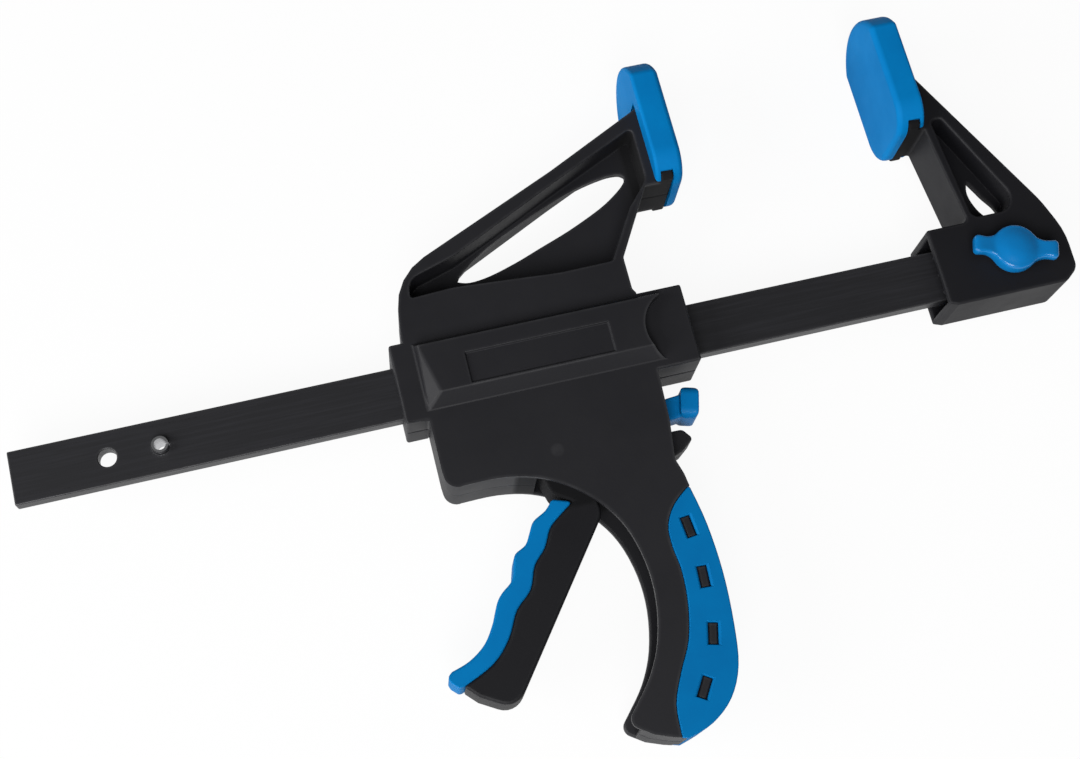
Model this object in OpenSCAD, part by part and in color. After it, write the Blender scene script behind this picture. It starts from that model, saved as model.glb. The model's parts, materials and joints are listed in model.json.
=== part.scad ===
// Quick release bar clamp, lying on its side.
// X runs along the bar towards the fixed jaw, Y towards the pads, Z through the thickness.
// The origin is the centre of the hole at the bar's tail end.
// The moving head is drawn from its own tail face, and is placed by the opening of the jaws.

/* [Bar] */
// Height of the bar's section
bar_h = 20; // [18:0.5:22]
// Thickness of the bar's section
bar_t = 6; // [5:0.25:6.5]
// Bar beyond the hole at its tail end
bar_tail = 34; // [20:1:60]
// Bar beyond the clamp screw, inside the fixed jaw
bar_nose = 13; // [11:0.5:14]
// Diameter of the hole at the tail end
end_hole_d = 6.6; // [5:0.1:8]
// From the tail hole to the stop pin
stop_x = 19; // [15:1:30]
// Outside diameter of the hollow stop pin
stop_d = 6; // [4:0.5:8]
// Length of the stop pin
stop_len = 11; // [9:0.5:16]

/* [Jaws] */
// Opening between the two pads, as shown
jaw_gap = 85.5; // [5:0.5:160]
// From the tail hole to the face of the fixed pad
fixed_face_x = 313.4; // [300:1:330]
// Height of the pads' centre above the bar's centre line
pad_y = 79.9; // [76:0.5:86]
// Half thickness of the fixed jaw
jaw_half = 12; // [11:0.25:13]
// Web between the jaws' recesses
web_t = 2.6; // [2:0.2:6]

/* [Pads] */
// Width of a pad
pad_w = 40.8; // [38:0.4:44]
// Height of a pad
pad_h = 48.8; // [46:0.4:52]
// Thickness of a pad
pad_t = 10.9; // [10:0.1:13]
// Radius of a pad's lower corners
pad_r = 11.6; // [6:0.2:14]
// Radius of a pad's upper corners, where its arched top begins
pad_top_r = 4.6; // [2:0.2:5]
// How far a pad's arched top stands above its own height
pad_crown = 4.8; // [3:0.2:6]
// Rise of the arched top from its corners to its crown
pad_arch = 10.6; // [8:0.2:12]
// Thickness of a pad's working face
pad_face_t = 4; // [3:0.1:4.6]
// Thickness of the jaw's foot in the pad
foot_t = 4.6; // [4:0.1:5]

/* [Head] */
// Half thickness of the head
head_half = 13; // [12.5:0.1:14]
// Wall of the two shells
wall = 2.5; // [1.8:0.1:3]
// Length of the head along the bar
head_len = 109.8; // [109:0.1:112]
// Height of the raised panel above the shells
panel_rise = 5; // [3:0.25:7]
// Diameter of the pin that the trigger turns on
pivot_d = 5; // [4:0.25:6]
// Diameter of the housing screws
screw_d = 3; // [2.5:0.25:3.5]

/* [Trigger] */
// Half thickness of the trigger
trigger_half = 9; // [7:0.25:9.5]
// Radius of the nose that drives the plates
nose_r = 3.5; // [3:0.25:4]

/* [Clutch] */
// Thickness of a drive plate
drive_t = 3; // [2:0.25:3.5]
// Thickness of the brake plate
brake_t = 3; // [2:0.25:3.5]
// Width of the plates across the bar
plate_w = 16; // [14:0.5:18]
// Lean of the brake plate at rest
brake_lean = 5; // [3:0.5:5.5]
// Outside diameter of the drive spring
drive_spring_d = 9; // [7:0.25:9.5]
// Outside diameter of the brake spring
brake_spring_d = 8; // [6:0.25:9]
// Wire of the two springs
wire_d = 1.1; // [0.8:0.1:1.4]

/* [Clamp screw] */
// From the face of the fixed pad to the clamp screw
screw_back = 27.6; // [25:0.2:30]
// Diameter of the clamp screw
clamp_d = 6; // [5:0.25:6.5]
// Span of the wing knob
wing_span = 32; // [26:0.5:36]
// Height of the wing knob
knob_h = 7.5; // [7:0.25:12]

/* [Fits] */
// Sliding gap round the bar, each side
slide_gap = 0.3; // [0.15:0.05:0.5]
// Gap between parts that clip together
clip_gap = 0.2; // [0.1:0.05:0.3]
// Running gap of pins and screws, on the radius
pin_gap = 0.05; // [0.02:0.01:0.1]
// Gap between parts that meet while they move
touch_gap = 0.3; // [0.2:0.05:0.4]

/* [Hidden] */
$fn = 64;
eps = 0.01;
over = 30;
pad_wall_t = 4.4;

nylon = [0.13, 0.13, 0.15];
soft_blue = [0.0, 0.45, 0.78];
steel = [0.62, 0.63, 0.65];
dark_steel = [0.17, 0.17, 0.18];

// Reach of the head from its tail face to the face of the moving pad
pad_reach = 122.7;
head_x = fixed_face_x - jaw_gap - pad_reach;
screw_x = fixed_face_x + screw_back;

// Places inside the head, from its tail face
pivot = [50, -36];
pivot_boss_r = 8;
nose = [pivot[0] - 3.6, pivot[1] + 15];
drive_x = nose[0] - nose_r - touch_gap;
drive_low = -26;
plate_top = 14;
brake_pivot = [83, 13.2];
brake_low = -34;
plate_gap = 0.1;
hole_h = bar_h + 1.2;
hole_w = bar_t + 0.9;
cavity_z = head_half - wall;
cavity_x0 = 12.5;
cavity_x1 = 90;
cavity_top = 15;
spring_y = -17.6;
brake_spring_y = -18.5;
spring_rib_x = 66;
spring_rib_t = 2;
screw_places = [[15.5, -33], [81.5, -51], [61, -133], [17.5, 24], [84, 24]];
screw_head_d = 6.6;
screw_head_t = 2.2;
screw_seat = 3;
boss_r = 4;
screw_len = 19;

// ---- Helpers for outlines ----

function unit(v) = v / norm(v);

function wrap(a) = a > 180 ? a - 360 : a <= -180 ? a + 360 : a;

// One corner [x, y, radius] of an outline, as the points of its arc
function corner(before, at, after) =
    let (
        r = len(at) > 2 ? at[2] : 0,
        here = [at[0], at[1]],
        u = unit([before[0], before[1]] - here),
        v = unit([after[0], after[1]] - here),
        half = acos(max(-1, min(1, u * v))) / 2
    )
    r <= 0 || half > 89 ? [here] :
    let (
        centre = here + unit(u + v) * r / sin(half),
        first = here + u * r / tan(half) - centre,
        last = here + v * r / tan(half) - centre,
        a0 = atan2(first[1], first[0]),
        turn = wrap(atan2(last[1], last[0]) - a0),
        steps = max(3, ceil(abs(turn) / 15))
    )
    [for (k = [0:steps]) centre + r * [cos(a0 + turn * k / steps), sin(a0 + turn * k / steps)]];

// A closed outline with rounded corners
function rounded(c) =
    let (n = len(c))
    [for (i = [0:n - 1]) each corner(c[(i + n - 1) % n], c[i], c[(i + 1) % n])];

// A point on the smooth curve through b and c
function blend_point(a, b, c, d, t) =
    0.5 * (2 * b + (c - a) * t + (2 * a - 5 * b + 4 * c - d) * t * t
        + (3 * b - a - 3 * c + d) * t * t * t);

// A smooth curve through all the points of p
function curve(p, steps = 4) =
    let (n = len(p))
    [for (i = [0:n - 2])
        for (k = [0:steps - 1])
            blend_point(p[max(i - 1, 0)], p[i], p[i + 1], p[min(i + 2, n - 1)], k / steps),
        p[n - 1]];

// An open path moved sideways, to its left for a positive distance
function shifted(p, d) =
    let (n = len(p))
    [for (i = [0:n - 1])
        let (t = unit(p[min(i + 1, n - 1)] - p[max(i - 1, 0)]))
        p[i] + d * [-t[1], t[0]]];

// Points of an arc, from one angle down to another
function arc(centre, r, from, to) =
    [for (a = [from:-10:to]) centre + r * [cos(a), sin(a)]];

function reversed(p) = [for (i = [len(p) - 1:-1:0]) p[i]];

// ---- Outlines of the head, from its tail face ----

// Underside of the body and inner side of the handle, from the tail to the handle's end
belly = curve([[14, -41.2], [27.7, -41.3], [39.8, -43.8], [50.3, -49.2], [60, -57.8],
    [66.7, -68.4], [70.2, -82], [70.3, -95.5], [67.1, -109.6], [61.6, -120.5], [54.6, -129]]);

// Outer side of the handle, from its top to its end
handle_back = curve([[92.6, -59.5], [95, -74], [95.8, -92], [94.6, -110], [92.1, -124.4],
    [86.6, -134.6], [78.2, -141.2], [69, -144.2]]);

// Inner edge of the soft grip, from its top to its end
grip_line = curve([[91.4, -59.8], [85.3, -64.8], [81.4, -71.4], [80.8, -79], [81.7, -88.5],
    [80.6, -100.5], [77.4, -112.3], [72.2, -121.8], [67.6, -132], [66.6, -143.4]]);

body_outline = concat(
    [[8.4, -15], [8.4, -33.8]],
    corner([8.4, -33.8], [8.9, -41.4, 5], [20, -41.2]),
    belly,
    corner([54.6, -129], [49.6, -134.6, 3.4], [57.5, -140.4]),
    [[57.5, -140.2], [63.6, -142.6]],
    reversed(handle_back),
    [[91.9, -54.5], [90.2, -48.8], [92.2, -34], [93, -15], [93, 15.5], [91.9, 17.5],
        [91.9, 30.9], [8.4, 30.9]]
);

// The thumb's rest below the release button
nub_outline = rounded([[88, -36.6], [97.2, -36.9, 2.4], [100.2, -41, 1.4], [95, -45, 2],
    [88, -47.5]]);
nub_half = 6;

// The arm, its recess and the window through its web
foot_low = pad_y - pad_h / 2 + 0.6;
foot_back = pad_face_t + clip_gap + foot_t;
arm_outline = rounded([[5.6, 14], [92, 14], [92, 30], [107.4, foot_low, 1],
    [pad_reach - foot_back + eps, foot_low], [pad_reach - foot_back + eps, 88.8], [109.8, 86.8],
    [74, 69.6, 60], [22.8, 47.4, 30], [8.3, 41, 23], [5, 16.4]]);
arm_recess = rounded([[12, 31.6, 1], [12.8, 38.6, 6], [31.3, 44.2, 20], [72.6, 63.9, 40],
    [108.4, 80.2, 1.5], [108.4, 58.5, 6], [99.5, 48.8, 8], [87.8, 29.6, 1.5], [67.6, 29.4, 60],
    [28.7, 32.4, 60]]);
arm_window = concat(
    curve([[31.2, 38.2], [35.7, 37], [43.6, 37.9], [54.7, 41.1], [64.6, 44.7], [75.9, 48.8],
        [86.1, 53.2], [93.7, 57.1], [100.2, 61.7], [103, 64.7]]),
    curve([[103.2, 66.3], [100.8, 67.7], [94.6, 67.6], [83.4, 65.1], [69, 59.9], [54.4, 53.6],
        [47, 50], [39.5, 45.6], [32.4, 40.2]])
);

// Side recess of the panel, and the scoop at its end
panel_x0 = 8.8;
panel_x1 = 100;
panel_y0 = -11.6;
panel_y1 = 13.5;
panel_low_slope = 4.6;
panel_high_slope = 1.9;
panel_low_end = 5.6;
panel_high_end = 1;
scoop = [105.4, -1];
scoop_r = 13.5;
label_x0 = 26;
label_x1 = 79;
label_y0 = -6.1;
label_y1 = 5.2;
label_depth = 0.8;

// Soft grip
grip_skin = 2.2;
grip_edge_t = 3;
grip_slots = [[88.4, -73.4, 6], [88.8, -91.8, -3], [86.6, -111.8, -14], [78.7, -129, -32]];
slot_size = [3.6, 7.8];
slot_depth = 0.9;

// ---- Outlines of the trigger, from the head's tail face ----

// Finger side, from the top to the tip
finger_line = curve([[44.2, -52], [41, -55.4], [36, -58.2], [33.7, -61.8], [31.2, -65.8],
    [26.9, -68.2], [25.4, -71.8], [23.5, -77], [19.3, -80.4], [16.6, -83.6], [13.6, -89.9],
    [9.1, -96.4], [2.8, -100.8], [-4, -103]]);

// Edge between the soft grip and the lever, from the top to the tip
split_line = curve([[51.4, -54.4], [45.2, -58.6], [41, -62.2], [37.6, -68.4], [32.6, -73.8],
    [29.2, -81.6], [22.8, -87.6], [17.7, -96.6], [10.4, -103.8], [-1.2, -109]]);

trigger_tip = [[-5.9, -104.6], [-5, -106.8], [-2.6, -109.2]];

lever_outline = concat(
    reversed(split_line),
    [[45, -50], [42.4, -41]],
    arc(pivot, pivot_boss_r, 200, 120),
    arc(nose, nose_r, 210, 0),
    arc(pivot, pivot_boss_r, 40, 0),
    corner([58, -36], [60.6, -61, 6], [18.1, -116.5]),
    corner([60.6, -61], [14.8, -120.8, 7], [-2, -110]),
    [[3.2, -113.6]]
);

// ---- The bar and its pin ----

module bar_section(gap = 0, from = -bar_tail, to = screw_x + bar_nose) {
    translate([from, -bar_h / 2 - gap, -bar_t / 2 - gap])
        cube([to - from, bar_h + 2 * gap, bar_t + 2 * gap]);
}

module bar() {
    color(dark_steel)
        difference() {
            bar_section();
            cylinder(h = over, d = end_hole_d, center = true);
            translate([stop_x, 0, 0])
                cylinder(h = over, r = stop_d / 2 + 0.01, center = true);
            translate([screw_x, 0, 0])
                cylinder(h = over, r = clamp_d / 2 + 0.5, center = true);
        }
}

module stop_pin() {
    pin_wall = 0.9;
    slit = 1;
    color(steel)
        translate([stop_x, 0, 0])
            difference() {
                cylinder(h = stop_len, d = stop_d, center = true);
                cylinder(h = over, d = stop_d - 2 * pin_wall, center = true);
                translate([0, -slit / 2, -over / 2])
                    cube([stop_d, slit, over]);
            }
}

// ---- The head ----

// The raised panel on the side of a shell, with its sloped edges and faceted end
module panel() {
    top = head_half + panel_rise;
    foot = [panel_x0, panel_y0, head_half];
    low = [panel_x0 + panel_low_end, panel_y0 + panel_low_slope, top];
    high = [panel_x0 + panel_high_end, panel_y1 - panel_high_slope, top];
    out = unit(cross(low - foot, high - foot));
    difference() {
        intersection() {
            rotate([90, 0, 90])
                linear_extrude(panel_x1)
                    polygon([[panel_y0, 0], [panel_y0, head_half], [low[1], top],
                        [high[1], top], [panel_y1, head_half], [panel_y1, 0]]);
            rotate([90, 0, 0])
                translate([0, 0, -over])
                    linear_extrude(2 * over)
                        polygon([[panel_x0, 0], [panel_x0, head_half], [high[0], top],
                            [panel_x1, top], [panel_x1, 0]]);
        }
        // the facet at its tail end
        translate(foot)
            rotate([0, acos(out[2]), atan2(out[1], out[0])])
                translate([-over, -over, 0])
                    cube([2 * over, 2 * over, over]);
    }
}

// Soft grip's outline, grown by a gap on its inner side
module grip_area(gap = 0, beyond = 0) {
    polygon(concat(shifted(grip_line, -gap), reversed(shifted(handle_back, beyond))));
}

// The strip along the handle's back, which the soft grip's edge fills
module grip_edge(depth, beyond = 0) {
    intersection() {
        grip_area(clip_gap, beyond);
        polygon(concat(shifted(handle_back, -depth), reversed(shifted(handle_back, beyond + 1))));
    }
}

// Room for the mechanism, open to the other shell
module cavity() {
    // round the bar, the plates and the springs
    difference() {
        translate([cavity_x0, -37.5, -eps])
            cube([cavity_x1 - cavity_x0, cavity_top + 37.5, cavity_z + eps]);
        // seat of the drive spring
        translate([cavity_x0 - eps, spring_y - 5.4, 0])
            cube([1.5, 10.8, cavity_z + eps]);
        // seat of the brake spring
        translate([spring_rib_x, brake_spring_y - 5, 0])
            cube([spring_rib_t, 9.5, cavity_z + eps]);
        // ledge that the brake plate's top leans on
        translate([brake_pivot[0] + brake_t / 2 + touch_gap, brake_pivot[1] - 1, 0])
            cube([over, 4, cavity_z + eps]);
    }
    // behind the panel
    translate([18, -5.5, -eps])
        cube([68, 11, cavity_z + panel_rise - wall + 0.2]);
    // mouth for the trigger, and the open inner side of the handle
    translate([0, 0, -eps])
        linear_extrude(cavity_z + eps)
            polygon(concat(
                [[42, -36], [39.6, -52]],
                [[54, -72], [64, -95], [56, -112], [50, -124], [46, -132], [50.8, -141]],
                [[56.5, -135], [60, -128.5], [66, -124]],
                reversed([for (i = [6:len(grip_line) - 12]) grip_line[i] - [2.5, 0]]),
                [[84, -56], [84, -36]]
            ));
    // upper hollow, above the bar
    translate([22.5, 19, -eps])
        cube([57, 9.2, cavity_z + eps]);
}

// Recess where the soft grip covers the handle
module grip_recess() {
    translate([0, 0, head_half - grip_skin - clip_gap])
        linear_extrude(over)
            grip_area(clip_gap, 2);
    translate([0, 0, -eps])
        linear_extrude(over)
            grip_edge(grip_edge_t + clip_gap, 2);
}

// The pads of the shell that show through the soft grip's slots
module slot_pads() {
    low = head_half - grip_skin - clip_gap - 0.5;
    for (s = grip_slots)
        translate([s[0], s[1], low])
            rotate(s[2])
                translate([-slot_size[0] / 2 + clip_gap, -slot_size[1] / 2 + clip_gap, 0])
                    cube([slot_size[0] - 2 * clip_gap, slot_size[1] - 2 * clip_gap,
                        head_half - slot_depth - low]);
}

// One shell of the head, from the split at z = 0 to its outside
module shell() {
    difference() {
        union() {
            difference() {
                union() {
                    linear_extrude(head_half)
                        union() {
                            polygon(body_outline);
                            polygon(arm_outline);
                        }
                    translate([0, -14.6, 0])
                        cube([9.5, 30, head_half]);
                    translate([92, -14.8, 0])
                        cube([head_len - 92, 30, head_half]);
                    panel();
                    linear_extrude(nub_half)
                        polygon(nub_outline);
                    // the foot that holds the pad
                    moving_foot();
                }
                cavity();
                grip_recess();
                translate([0, 0, web_t / 2])
                    linear_extrude(over)
                        polygon(arm_recess);
                translate([scoop[0], scoop[1], head_half])
                    cylinder(h = over, r = scoop_r);
                translate([label_x0, label_y0, head_half + panel_rise - label_depth])
                    cube([label_x1 - label_x0, label_y1 - label_y0, over]);
            }
            slot_pads();
            // bosses of the housing screws
            for (p = screw_places)
                translate([p[0], p[1], 0])
                    cylinder(h = cavity_z, r = boss_r);
            // bosses of the trigger's pin
            translate([pivot[0], pivot[1], trigger_half + touch_gap])
                cylinder(h = head_half - trigger_half - touch_gap - eps, r = 5.5);
        }
        // the bar's way through
        bar_section(slide_gap, -1, head_len + 1);
        // window through the arm's web
        translate([0, 0, -eps])
            linear_extrude(over)
                polygon(arm_window);
        // way out for the release button's neck
        translate([cavity_x1 - 1, -35.6, -eps])
            cube([over, 17.4, 8.5 + eps]);
        // blind holes of the trigger's pin
        translate([pivot[0], pivot[1], -eps])
            cylinder(h = head_half - 1 + eps, r = pivot_d / 2 + 0.01);
    }
}

// Foot and neck at the end of the moving arm
module moving_foot() {
    foot_half(pad_reach);
}

// Half of a foot in its pad, whose working face is at x
module foot_half(x) {
    inner = x - pad_face_t - clip_gap;
    translate([inner - foot_t, 0, 0])
        rotate([90, 0, 90])
            linear_extrude(foot_t)
                intersection() {
                    foot_outline(0);
                    square([2 * pad_y, pad_w]);
                }
}

foot_r = 6;

// Outline of the foot, with Y across and Z up the page
module foot_outline(gap) {
    high = pad_y + pad_h / 2 - pad_wall_t + gap;
    half = pad_w / 2 - pad_wall_t + gap;
    polygon(rounded([[foot_low - gap, -half, 2], [foot_low - gap, half, 2],
        [high, half, foot_r], [high, -half, foot_r]]));
}

module housing_front() {
    color(nylon)
        difference() {
            shell();
            // pilot holes for the screws
            for (p = screw_places)
                translate([p[0], p[1], -eps])
                    cylinder(h = screw_len - 9.6, r = screw_d / 2 + 0.02);
        }
}

module housing_rear() {
    color(nylon)
        difference() {
            mirror([0, 0, 1])
                shell();
            for (p = screw_places)
                translate([p[0], p[1], -over + eps])
                    cylinder(h = over, r = screw_d / 2 + 0.2);
            // seats of the screws' heads
            for (p = screw_places)
                translate([p[0], p[1], -head_half - over + screw_seat])
                    cylinder(h = over, d = screw_head_d + 0.8);
        }
}

module housing_screws() {
    color(steel)
        for (p = screw_places)
            translate([p[0], p[1], -head_half + screw_seat])
                difference() {
                    union() {
                        translate([0, 0, -screw_head_t])
                            cylinder(h = screw_head_t, d = screw_head_d);
                        cylinder(h = screw_len - screw_seat + 0.5, d = screw_d);
                    }
                    for (turn = [0, 90])
                        rotate(turn)
                            translate([-1.9, -0.45, -screw_head_t - 1])
                                cube([3.8, 0.9, 2.3]);
                }
}

// The soft grip wraps the handle's back from one shell to the other
module grip_insert() {
    color(soft_blue)
        difference() {
            translate([0, 0, -head_half])
                linear_extrude(2 * head_half)
                    grip_area();
            // room for the shells
            translate([0, 0, -head_half + grip_skin])
                linear_extrude(2 * (head_half - grip_skin))
                    difference() {
                        grip_area(over);
                        translate([-eps, 0])
                            grip_edge_solid();
                    }
            for (s = grip_slots)
                translate([s[0], s[1], 0])
                    rotate(s[2])
                        cube([slot_size[0], slot_size[1], 4 * head_half], center = true);
        }
}

// The band of the soft grip along the handle's back
module grip_edge_solid() {
    polygon(concat(shifted(handle_back, -grip_edge_t), reversed(shifted(handle_back, 5))));
}

// ---- Trigger ----

module trigger_lever() {
    color(nylon)
        difference() {
            translate([0, 0, -trigger_half])
                linear_extrude(2 * trigger_half)
                    polygon(lever_outline);
            translate([pivot[0], pivot[1], 0])
                cylinder(h = over, r = pivot_d / 2 + pin_gap, center = true);
        }
}

module trigger_grip() {
    color(soft_blue)
        translate([0, 0, -trigger_half])
            linear_extrude(2 * trigger_half)
                polygon(concat(finger_line, trigger_tip, reversed(split_line)));
}

module trigger_pin() {
    color(steel)
        translate([pivot[0], pivot[1], 0])
            cylinder(h = 2 * (head_half - 1.2), d = pivot_d, center = true);
}

// ---- Clutch ----

// A flat plate with the bar's hole, standing across the bar, its middle plane at x = 0
module plate(t, low, high) {
    difference() {
        translate([-t / 2, low, -plate_w / 2])
            cube([t, high - low, plate_w]);
        translate([-over / 2, -hole_h / 2, -hole_w / 2])
            cube([over, hole_h, hole_w]);
    }
}

module drive_plate_1() {
    color(steel)
        translate([drive_x - drive_t / 2, 0, 0])
            plate(drive_t, drive_low, plate_top);
}

module drive_plate_2() {
    color(steel)
        translate([drive_x - 1.5 * drive_t - plate_gap, 0, 0])
            plate(drive_t, drive_low, plate_top);
}

// Place of the brake plate, which leans about its top
module at_brake() {
    translate([brake_pivot[0], brake_pivot[1], 0])
        rotate(brake_lean)
            translate([0, -brake_pivot[1], 0])
                children();
}

module brake_plate() {
    color(steel)
        at_brake()
            plate(brake_t, brake_low, plate_top);
}

// The rounded head of the release button
module thumb_pill() {
    t = 6.8;
    long = 11.8;
    half = 8;
    intersection() {
        translate([-t / 2, 0, 0])
            rotate([90, 0, 90])
                linear_extrude(t)
                    polygon(rounded([[-long / 2, -half, 3.4], [-long / 2, half, 3.4],
                        [long / 2, half, 3.4], [long / 2, -half, 3.4]]));
        linear_extrude(3 * half, center = true)
            polygon(rounded([[-t / 2, -long / 2, 2.2], [t / 2, -long / 2, 2.2],
                [t / 2, long / 2, 2.2], [-t / 2, long / 2, 2.2]]));
    }
}

// The blue button clips on the brake plate's lower end
module release_button() {
    color(soft_blue)
        at_brake()
            difference() {
                union() {
                    translate([-brake_t / 2 - 1.5, -34.9, -6])
                        cube([brake_t + 3, 11.4, 12]);
                    translate([brake_t / 2 - eps, -33.2, -5])
                        cube([13, 8.2, 10]);
                    translate([15.7, -29.2, 0])
                        rotate(-20)
                            thumb_pill();
                }
                translate([-brake_t / 2 - clip_gap / 2, brake_low - clip_gap / 2, -over])
                    cube([brake_t + clip_gap, over, 2 * over]);
            }
}

// A wire coil along X: an unbroken helix with its ends square to the seats
module coil(from, to, d, turns) {
    sides = 6;
    per_turn = 12;
    count = turns * per_turn;
    radius = (d - wire_d) / 2;
    length = to - from - wire_d;
    rings = [for (i = [0:count])
        let (
            a = 360 * i / per_turn,
            x = from + wire_d / 2 + length * i / count,
            out = [0, cos(a), sin(a)]
        )
        [for (k = [0:sides - 1])
            let (b = 360 * k / sides)
            [x, 0, 0] + radius * out + wire_d / 2 * (cos(b) * out + sin(b) * [1, 0, 0])]];
    walls = [for (i = [0:count - 1], k = [0:sides - 1])
        let (
            a = i * sides + k,
            b = i * sides + (k + 1) % sides
        )
        each [[a, b, b + sides], [a, b + sides, a + sides]]];
    first = [for (k = [1:sides - 2]) [0, k + 1, k]];
    last = [for (k = [1:sides - 2]) [0, k, k + 1] + count * sides * [1, 1, 1]];
    polyhedron(points = [for (r = rings) each r], faces = concat(walls, first, last));
}

module drive_spring() {
    color(steel)
        translate([0, spring_y, 0])
            coil(cavity_x0 + 1.5 + touch_gap, drive_x - 2 * drive_t - plate_gap - touch_gap,
                drive_spring_d, 7);
}

module brake_spring() {
    reach = (brake_pivot[1] - brake_spring_y) * tan(brake_lean);
    far = brake_pivot[0] + reach - brake_t / 2 / cos(brake_lean);
    color(steel)
        translate([0, brake_spring_y, 0])
            coil(spring_rib_x + spring_rib_t + touch_gap,
                far - touch_gap - brake_spring_d / 2 * tan(brake_lean), brake_spring_d, 5);
}

// ---- Pads ----

// A pad whose working face is at x = 0 and looks along +X
module pad() {
    low = pad_y - pad_h / 2;
    high = pad_y + pad_h / 2;
    lip_half = head_half + clip_gap;
    foot_room = foot_t + 2 * clip_gap;
    half = pad_w / 2;
    arch_r = (half * half + pad_arch * pad_arch) / 2 / pad_arch;
    arch_y = high + pad_crown - arch_r;
    spread = asin(half / arch_r);
    arch = [for (i = [7:-1:-7]) [arch_y + arch_r * cos(i * spread / 8), arch_r * sin(i * spread / 8)]];
    side_y = high + pad_crown - pad_arch;
    difference() {
        translate([-pad_t, 0, 0])
            rotate([90, 0, 90])
                linear_extrude(pad_t)
                    polygon(rounded(concat([[low, -half, pad_r], [low, half, pad_r],
                        [side_y, half, pad_top_r]], arch, [[side_y, -half, pad_top_r]])));
        // room for the foot
        translate([-pad_face_t - foot_room, 0, 0])
            rotate([90, 0, 90])
                linear_extrude(foot_room)
                    foot_outline(clip_gap);
        // way in for the foot, which cuts the side walls short
        translate([-pad_face_t - foot_room, low - 5, -pad_w])
            cube([foot_room, 8.4, 2 * pad_w]);
        // way in for the arm behind the foot
        translate([-pad_t - 1, low - 5, -lip_half])
            cube([pad_t - pad_face_t, pad_h - 9, 2 * lip_half]);
        translate([-pad_t - 1, low - 5, -pad_w])
            cube([pad_t - pad_face_t - 1, 5.4, 2 * pad_w]);
    }
}

module moving_pad() {
    color(soft_blue)
        translate([pad_reach, 0, 0])
            pad();
}

module fixed_pad() {
    color(soft_blue)
        translate([fixed_face_x, 0, 0])
            mirror([1, 0, 0])
                pad();
}

// ---- Fixed jaw ----

jaw_face_x = fixed_face_x - 1.3;
jaw_low = -bar_h / 2 - 5.4;
jaw_top = 15.7;
jaw_outline = rounded([[jaw_face_x - 0.3, jaw_low + 1.2], [jaw_face_x + 3, jaw_low, 1],
    [screw_x + 17.5, jaw_low, 4], [screw_x + 23, -11, 5], [screw_x + 23.4, 4, 30],
    [screw_x + 18.4, 18, 50], [screw_x - 12.8, 76.7, 30], [fixed_face_x + 10.6, 85],
    [fixed_face_x + foot_back - eps, 85], [fixed_face_x + foot_back - eps, foot_low],
    [fixed_face_x + 11, foot_low], [screw_x - 12.2, jaw_top, 2], [jaw_face_x, jaw_top]]);
jaw_recess = rounded([[screw_x - 13, 59, 1.8], [screw_x - 9.6, 17, 3],
    [screw_x + 10.4, 17, 6], [screw_x - 8.8, 59, 1.8]]);
jaw_recess_far = rounded([[screw_x - 13, 59, 1.8], [screw_x - 9.6, 17, 3],
    [screw_x + 16, 17, 5], [screw_x - 6.6, 59, 1.8]]);
jaw_window = [for (p = curve([[-2.9, 35.2], [-4.1, 31.2], [-3.7, 27], [-1.9, 22.3], [0.8, 18.9],
    [3.4, 18.4], [4.9, 19.8], [4, 23.2], [1.3, 27.4], [-0.6, 31]])) p + [screw_x, 0]];

module fixed_jaw() {
    mouth_deep = 9;
    socket_wall = 2.7;
    color(nylon)
        difference() {
            union() {
                translate([0, 0, -jaw_half])
                    linear_extrude(2 * jaw_half)
                        polygon(jaw_outline);
                mirror_foot();
            }
            // recesses on both sides of the web, the far one wider so that the window opens freely
            for (side = [0, 1])
                mirror([0, 0, side])
                    translate([0, 0, web_t / 2])
                        linear_extrude(over)
                            polygon(side == 0 ? jaw_recess : jaw_recess_far);
            linear_extrude(over, center = true)
                polygon(jaw_window);
            // socket for the bar
            bar_section(clip_gap, jaw_face_x - 1, screw_x + bar_nose + clip_gap);
            // wide mouth, whose ribs guide the bar
            difference() {
                translate([jaw_face_x - 1, jaw_low + socket_wall, -jaw_half + socket_wall])
                    cube([mouth_deep + 1, jaw_top - jaw_low - 2 * socket_wall,
                        2 * (jaw_half - socket_wall)]);
                for (y = [-7, 0, 7])
                    translate([jaw_face_x + 2, y - 0.8, -jaw_half])
                        cube([mouth_deep, 1.6, 2 * jaw_half]);
            }
            // clamp screw's hole, and the nut's pocket on the far side
            translate([screw_x, 0, 0])
                cylinder(h = 3 * over, r = clamp_d / 2 + 0.3, center = true);
            translate([screw_x, 0, -jaw_half - eps])
                cylinder(h = nut_t + 1, r = nut_r + clip_gap, $fn = 6);
        }
}

// The foot of the fixed jaw
module mirror_foot() {
    translate([fixed_face_x, 0, 0])
        mirror([1, 0, 0])
            for (side = [0, 1])
                mirror([0, 0, side])
                    foot_half(0);
}

// ---- Clamp screw ----

nut_t = 5;
nut_r = 5.8;
washer_t = 0.9;
washer_r = 7;
knob_low = jaw_half + washer_t + touch_gap;
hub_r = 9;
wing_turned = 17;

module jaw_nut() {
    color(steel)
        translate([screw_x, 0, -jaw_half + 0.9])
            difference() {
                cylinder(h = nut_t, r = nut_r, $fn = 6);
                cylinder(h = over, r = clamp_d / 2 + pin_gap, center = true);
            }
}

module knob_washer() {
    color(steel)
        translate([screw_x, 0, jaw_half])
            difference() {
                cylinder(h = washer_t, r = washer_r);
                cylinder(h = over, r = clamp_d / 2 + 0.2, center = true);
            }
}

module clamp_screw() {
    head_t = 4;
    color(steel)
        translate([screw_x, 0, 0]) {
            translate([0, 0, -jaw_half + 0.6])
                cylinder(h = jaw_half + knob_low + 1.4, d = clamp_d);
            translate([0, 0, knob_low + 1])
                cylinder(h = head_t, r = nut_r - 0.6, $fn = 6);
        }
}

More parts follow.
